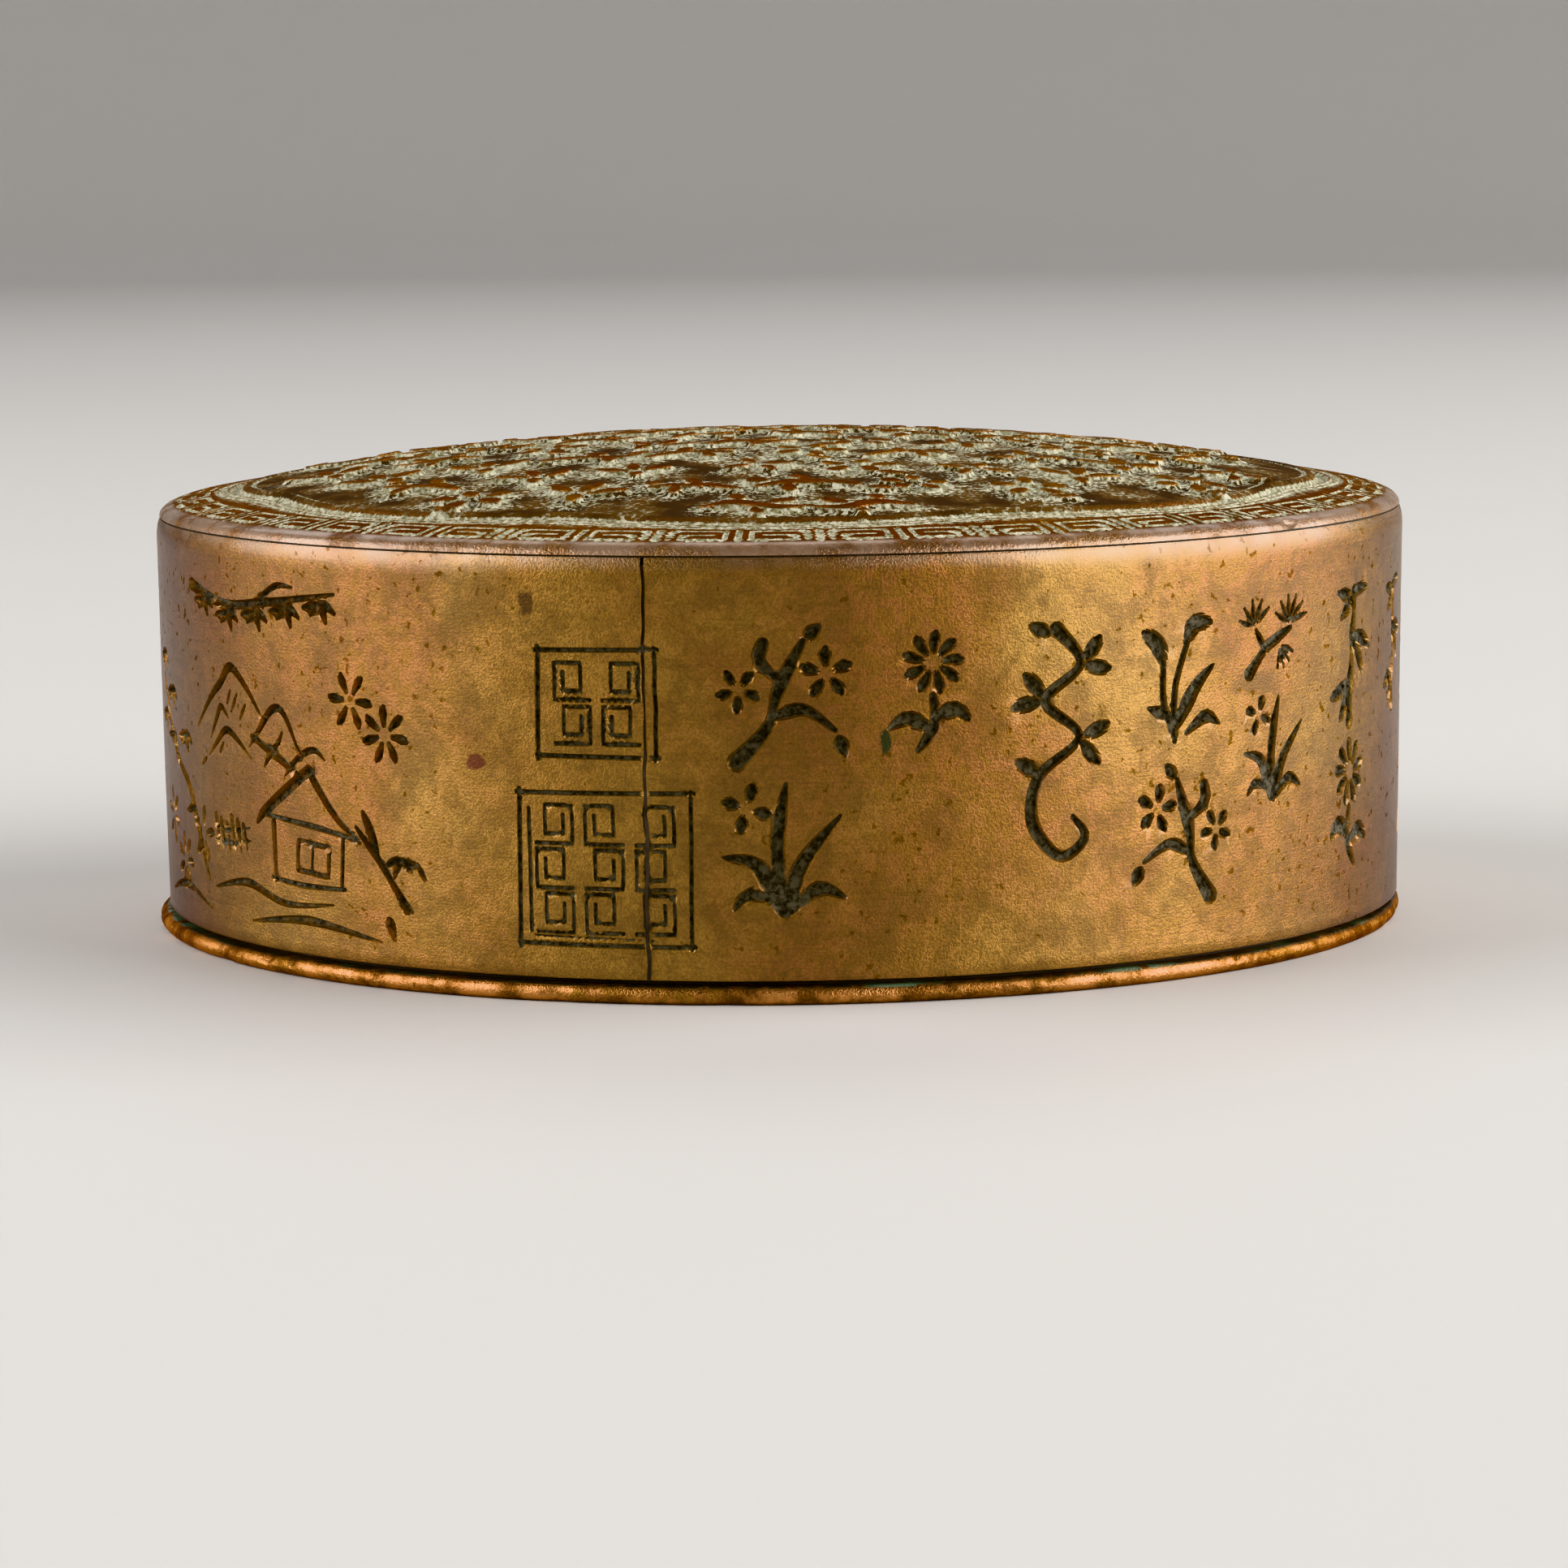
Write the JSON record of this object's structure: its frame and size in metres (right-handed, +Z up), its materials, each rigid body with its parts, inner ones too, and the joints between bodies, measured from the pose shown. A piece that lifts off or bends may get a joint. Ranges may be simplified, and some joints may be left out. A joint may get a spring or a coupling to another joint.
{
  "type": "lidded ink box",
  "caption": "Round lidded metal ink box: a deep chased lid slides up off a soldered collar to show a copper pan with an inked silk pad.",
  "frame": {"origin": "centre of the underside, on the surface that the box stands on", "axes": "+Z up along the box's axis and the way the lid lifts, -Y towards the front, a little right of the wall's soldered seam"},
  "size_m": [0.0764, 0.0764, 0.0295],
  "materials": {
    "relief_copper": "satin",
    "wall_copper": "satin",
    "foot_copper": "satin",
    "plain_copper": "satin",
    "pan_copper": "satin",
    "solder": "matte",
    "lac": "gloss",
    "slate": "matte",
    "inked_silk": "matte"
  },
  "bodies": {
    "base": {"base_plate": "foot_copper", "base_collar": "plain_copper", "base_joint_solder": "solder", "collar_seam_solder": "solder", "ink_pan": "pan_copper", "silk_pad": "inked_silk"},
    "lid": {"lid_top_plate": "relief_copper", "lid_wall": "wall_copper", "lid_joint_solder": "solder", "wall_seam_solder": "solder", "slate_cement": "lac", "ink_slate": "slate", "slate_bezel": "plain_copper"}
  },
  "joints": [
    {"name": "lid_lift", "type": "slide", "parent": "base", "child": "lid", "axis": [0, 0, 1], "range_m": [0, 0.034]}
  ]
}
